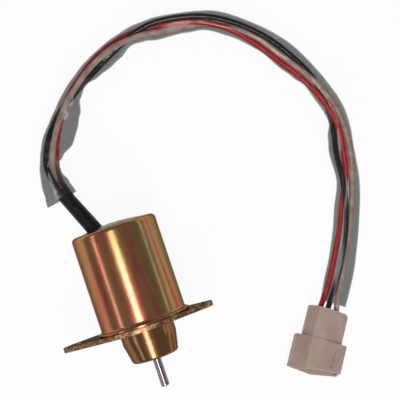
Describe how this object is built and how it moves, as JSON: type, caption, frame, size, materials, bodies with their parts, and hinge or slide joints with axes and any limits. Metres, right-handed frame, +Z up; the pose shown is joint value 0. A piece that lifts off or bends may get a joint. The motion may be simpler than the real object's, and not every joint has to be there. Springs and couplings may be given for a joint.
{
  "type": "fuel shutoff solenoid",
  "caption": "Plunger solenoid for an engine fuel shutoff: plated can on an oval two-bolt flange, spring-returned pin, and sleeved wires to a plastic connector.",
  "frame": {"origin": "On the table under the middle of the solenoid's own box, cords and connector apart", "axes": "+Z up; +Y along the solenoid from the pin to the wire end, as it lies on its side; +X across, towards the connector"},
  "size_m": [0.1528, 0.1803, 0.044],
  "materials": {
    "can_zinc": "yellow chromate zinc, bright",
    "flange_zinc": "yellow chromate zinc, sheared edge",
    "nose_zinc": "yellow chromate zinc, turned",
    "cap_black": "moulded, satin",
    "relief_rubber": "smooth rubber",
    "sleeve_clear": "clear soft tubing",
    "wire_red": "wire insulation",
    "wire_white": "wire insulation",
    "wire_black": "wire insulation",
    "housing_nylon": "natural moulded nylon",
    "terminal_brass": "tinned stamped brass",
    "bobbin_plastic": "moulded",
    "coil_copper": "enamelled winding",
    "soft_iron": "turned iron",
    "tube_brass": "drawn",
    "bush_bronze": "sintered bronze",
    "stop_rubber": "moulded rubber",
    "pin_steel": "ground steel",
    "spring_steel": "drawn wire"
  },
  "bodies": {
    "solenoid": {"can": "can_zinc", "mounting_flange": "flange_zinc", "nose": "nose_zinc", "end_cap": "cap_black", "strain_relief": "relief_rubber", "clear_sleeve": "sleeve_clear", "wire_red": "wire_red", "wire_white": "wire_white", "wire_black": "wire_black", "connector_housing": "housing_nylon", "terminal_red": "terminal_brass", "terminal_white": "terminal_brass", "terminal_black": "terminal_brass", "bobbin": "bobbin_plastic", "pull_in_coil": "coil_copper", "hold_in_coil": "coil_copper", "pole_piece": "soft_iron", "flux_washer": "soft_iron", "guide_tube": "tube_brass", "nose_bush": "bush_bronze", "stop_washer": "stop_rubber", "return_spring": "spring_steel", "spring_seat": "spring_steel"},
    "plunger_assembly": {"plunger": "soft_iron", "plunger_pin": "pin_steel"}
  },
  "joints": [
    {"name": "plunger_stroke", "type": "slide", "parent": "solenoid", "child": "plunger_assembly", "axis": [0, 0.9975, -0.0711], "range_m": [0, 0.01], "stiffness_N_per_m": 1200, "springref_m": -0.0067, "deforming": ["return_spring"]}
  ]
}
